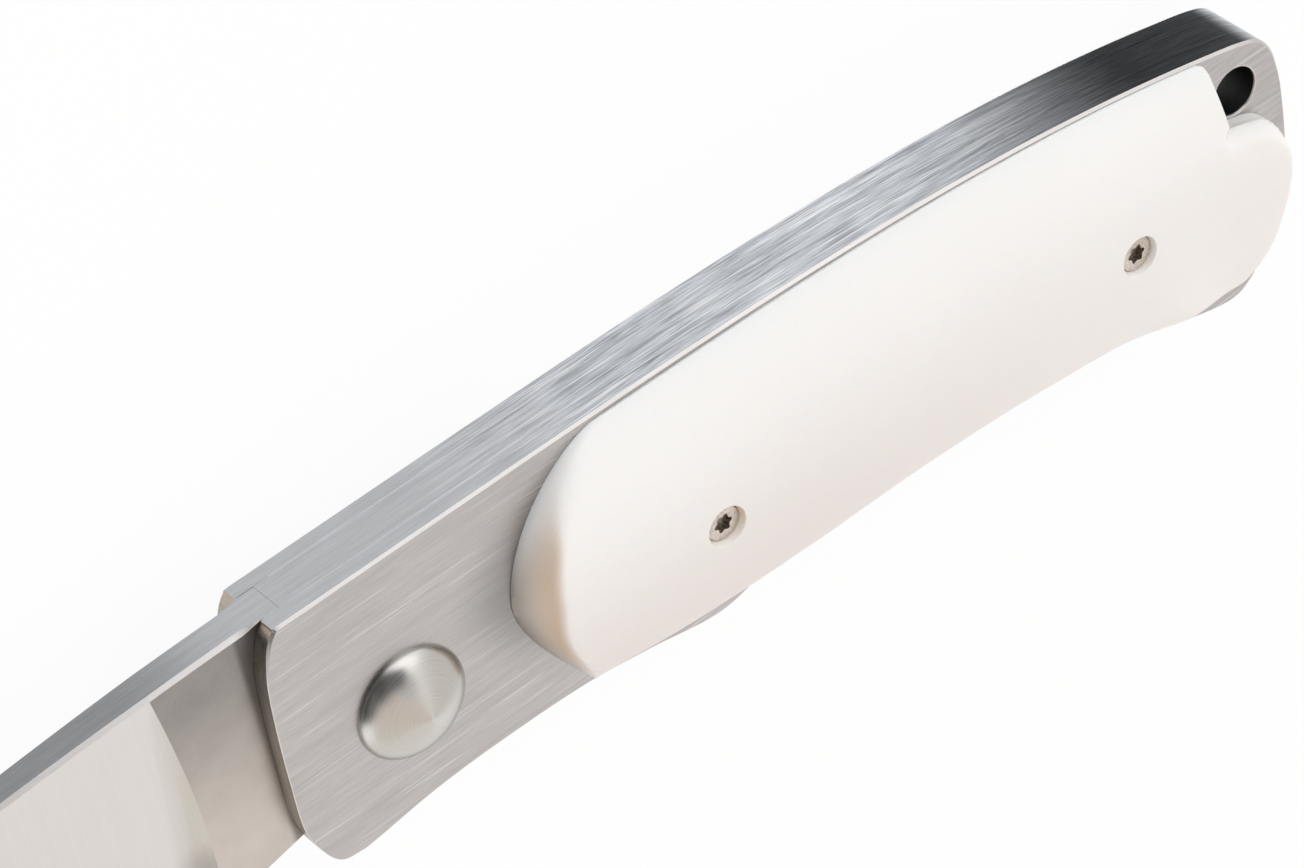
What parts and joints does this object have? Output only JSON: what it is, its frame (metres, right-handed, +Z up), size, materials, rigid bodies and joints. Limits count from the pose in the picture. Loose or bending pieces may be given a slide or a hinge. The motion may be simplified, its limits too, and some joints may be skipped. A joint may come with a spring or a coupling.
{
  "type": "folding pocket knife",
  "caption": "Folding pocket knife, blade open: a flat ground blade turns on a domed pivot in a slotted steel handle with pale rounded scales and a lanyard hole.",
  "frame": {"origin": "centre of the open knife's plan outline, on the plane its lower scale lies on", "axes": "+X from the pivot towards the butt, so the blade points along -X; +Y from the belly towards the spine; +Z up through the handle's thickness"},
  "size_m": [0.1554, 0.028, 0.012],
  "materials": {
    "liner_steel": "brushed along the handle",
    "spring_steel": "brushed along the spine",
    "pin_steel": "ground flush",
    "pivot_steel": "fine turned polish",
    "washer_bronze": "plain",
    "scale_bone": "satin polish",
    "screw_steel": "polished",
    "blade_steel": "satin, with polished bevels"
  },
  "bodies": {
    "handle": {"top_liner": "liner_steel", "bottom_liner": "liner_steel", "backspring": "spring_steel", "middle_spring_pin": "pin_steel", "rear_spring_pin": "pin_steel", "pivot_barrel": "pivot_steel", "pivot_screw": "pivot_steel", "top_pivot_washer": "washer_bronze", "bottom_pivot_washer": "washer_bronze", "top_scale": "scale_bone", "bottom_scale": "scale_bone", "top_front_scale_screw": "screw_steel", "top_rear_scale_screw": "screw_steel", "bottom_front_scale_screw": "screw_steel", "bottom_rear_scale_screw": "screw_steel"},
    "blade": {"blade": "blade_steel"}
  },
  "joints": [
    {"name": "blade_pivot", "type": "hinge", "parent": "handle", "child": "blade", "pos_m": [-0.00371, 0.00095, 0.006], "axis": [0, 0, 1], "range_deg": [0, 180]}
  ]
}
